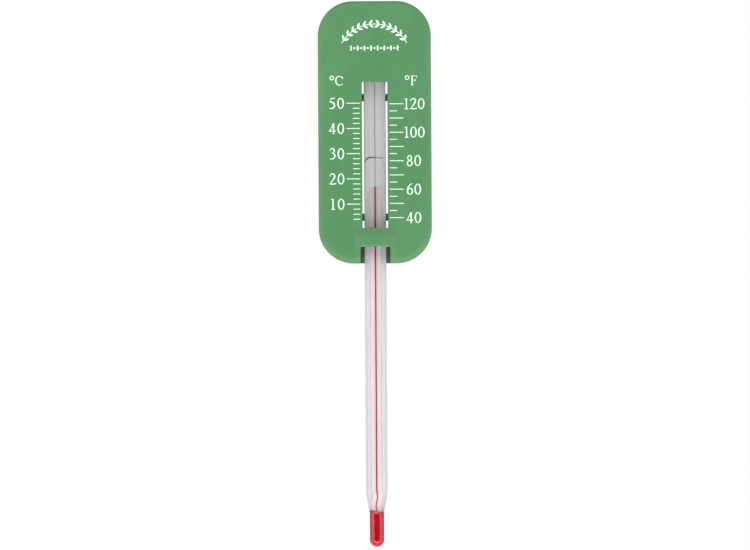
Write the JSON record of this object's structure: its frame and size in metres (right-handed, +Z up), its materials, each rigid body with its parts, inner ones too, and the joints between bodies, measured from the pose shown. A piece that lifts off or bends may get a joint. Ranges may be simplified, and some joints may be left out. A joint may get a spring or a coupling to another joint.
{
  "type": "propagator thermometer",
  "caption": "Glass spirit thermometer with a bulb at its foot, held in a rounded plastic scale plate and pushed into compost in a propagator.",
  "frame": {"origin": "on the stem's axis at the scale plate's bottom edge, which is the compost's surface when the stem is pushed in", "axes": "+Z up along the stem, away from the bulb; the scale faces -Y; +X is to the reader's right"},
  "size_m": [0.034, 0.0108, 0.165],
  "materials": {
    "green_plastic": "moulded satin, pale printed scale",
    "clear_glass": "drawn capillary tube, clear",
    "bulb_glass": "thin blown bulb, clear",
    "white_enamel": "opaque white backing fused in the glass",
    "red_spirit": "dyed red spirit",
    "set_adhesive": "set adhesive, slightly milky"
  },
  "bodies": {
    "holder": {"scale_plate": "green_plastic", "stem_glass": "clear_glass", "tip_seal": "clear_glass", "bulb_glass": "bulb_glass", "enamel_strip": "white_enamel", "bulb_spirit": "red_spirit", "spirit_thread": "red_spirit", "adhesive_upper": "set_adhesive", "adhesive_lower": "set_adhesive"},
    "meniscus": {"spirit_thread_top": "red_spirit"}
  },
  "joints": [
    {"name": "spirit_rise", "type": "slide", "parent": "holder", "child": "meniscus", "axis": [0, 0, 1], "range_m": [-0.0099, 0.025], "deforming": ["spirit_thread"]}
  ]
}
